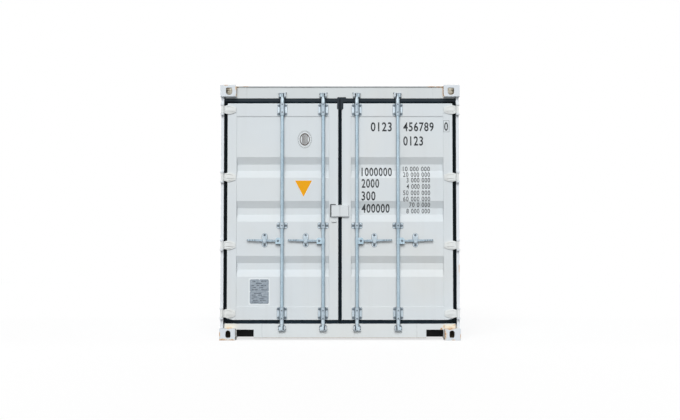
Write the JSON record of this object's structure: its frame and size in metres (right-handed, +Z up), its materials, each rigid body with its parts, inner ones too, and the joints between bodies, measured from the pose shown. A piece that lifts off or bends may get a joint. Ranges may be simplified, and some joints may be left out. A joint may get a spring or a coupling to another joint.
{
  "type": "shipping container",
  "caption": "Steel freight container with corner castings, corrugated walls and roof, a wooden floor, fork pockets and hinged end doors with lock rods and handles.",
  "frame": {"origin": "middle of the footprint, on the ground under the corner castings", "axes": "+X to the right for a person who faces the doors, +Y along the length from the door end to the blind end, +Z up"},
  "size_m": [2.438, 6.058, 2.591],
  "materials": {
    "body_paint": "satin pale grey container paint",
    "casting_paint": "satin pale grey paint over cast steel",
    "seal_rubber": "matt",
    "galvanised_steel": "dull zinc",
    "floor_plywood": "worn plywood",
    "underframe_coating": "matt black wax",
    "plate_aluminium": "dull"
  },
  "bodies": {
    "container": {"bottom_corner_castings": "casting_paint", "top_corner_castings": "casting_paint", "rear_corner_posts": "body_paint", "front_corner_posts": "body_paint", "door_header": "body_paint", "door_sill": "body_paint", "header_keepers": "galvanised_steel", "sill_keepers": "galvanised_steel", "door_hinge_lugs": "body_paint", "bottom_side_rails": "body_paint", "fork_pockets": "underframe_coating", "cross_members": "underframe_coating", "floor_boards": "floor_plywood", "front_bottom_rail": "body_paint", "front_top_rail": "body_paint", "front_wall": "body_paint", "left_side_wall": "body_paint", "right_side_wall": "body_paint", "top_side_rails": "body_paint", "roof_panel": "body_paint", "side_vents": "body_paint", "roof_corner_plates": "body_paint"},
    "left_door": {"left_door_frame": "body_paint", "left_door_panel": "body_paint", "left_door_seal": "seal_rubber", "left_hinge_blades": "body_paint", "left_rod_brackets": "galvanised_steel", "left_handle_retainers": "galvanised_steel", "left_lock_plate": "body_paint", "data_plate": "plate_aluminium"},
    "right_door": {"right_door_frame": "body_paint", "right_door_panel": "body_paint", "right_door_seal": "seal_rubber", "right_hinge_blades": "body_paint", "right_rod_brackets": "galvanised_steel", "right_handle_retainers": "galvanised_steel", "right_lock_plate": "body_paint"},
    "left_inner_lock": {"left_inner_rod": "galvanised_steel"},
    "left_inner_lever": {"left_inner_handle": "galvanised_steel"},
    "left_outer_lock": {"left_outer_rod": "galvanised_steel"},
    "left_outer_lever": {"left_outer_handle": "galvanised_steel"},
    "right_inner_lock": {"right_inner_rod": "galvanised_steel"},
    "right_inner_lever": {"right_inner_handle": "galvanised_steel"},
    "right_outer_lock": {"right_outer_rod": "galvanised_steel"},
    "right_outer_lever": {"right_outer_handle": "galvanised_steel"}
  },
  "joints": [
    {"name": "left_door_hinge", "type": "hinge", "parent": "container", "child": "left_door", "pos_m": [-1.197, -3.007, 1.308], "axis": [0, 0, -1], "range_deg": [0, 260]},
    {"name": "right_door_hinge", "type": "hinge", "parent": "container", "child": "right_door", "pos_m": [1.197, -3.007, 1.308], "axis": [0, 0, 1], "range_deg": [0, 260]},
    {"name": "left_inner_rod_turn", "type": "hinge", "parent": "left_door", "child": "left_inner_lock", "pos_m": [-0.172, -2.998, 1.31], "axis": [0, 0, -1], "range_deg": [-110, 0]},
    {"name": "left_outer_rod_turn", "type": "hinge", "parent": "left_door", "child": "left_outer_lock", "pos_m": [-0.589, -2.998, 1.31], "axis": [0, 0, -1], "range_deg": [-110, 0]},
    {"name": "right_inner_rod_turn", "type": "hinge", "parent": "right_door", "child": "right_inner_lock", "pos_m": [0.172, -2.998, 1.31], "axis": [0, 0, 1], "range_deg": [-110, 0]},
    {"name": "right_outer_rod_turn", "type": "hinge", "parent": "right_door", "child": "right_outer_lock", "pos_m": [0.589, -2.998, 1.31], "axis": [0, 0, 1], "range_deg": [-110, 0]},
    {"name": "left_inner_handle_lift", "type": "hinge", "parent": "left_inner_lock", "child": "left_inner_lever", "pos_m": [-0.212, -2.998, 1.004], "axis": [0, -1, 0], "range_deg": [-25, 0]},
    {"name": "left_outer_handle_lift", "type": "hinge", "parent": "left_outer_lock", "child": "left_outer_lever", "pos_m": [-0.629, -2.998, 1.004], "axis": [0, -1, 0], "range_deg": [-25, 0]},
    {"name": "right_inner_handle_lift", "type": "hinge", "parent": "right_inner_lock", "child": "right_inner_lever", "pos_m": [0.212, -2.998, 1.004], "axis": [0, 1, 0], "range_deg": [-25, 0]},
    {"name": "right_outer_handle_lift", "type": "hinge", "parent": "right_outer_lock", "child": "right_outer_lever", "pos_m": [0.629, -2.998, 1.004], "axis": [0, 1, 0], "range_deg": [-25, 0]}
  ]
}
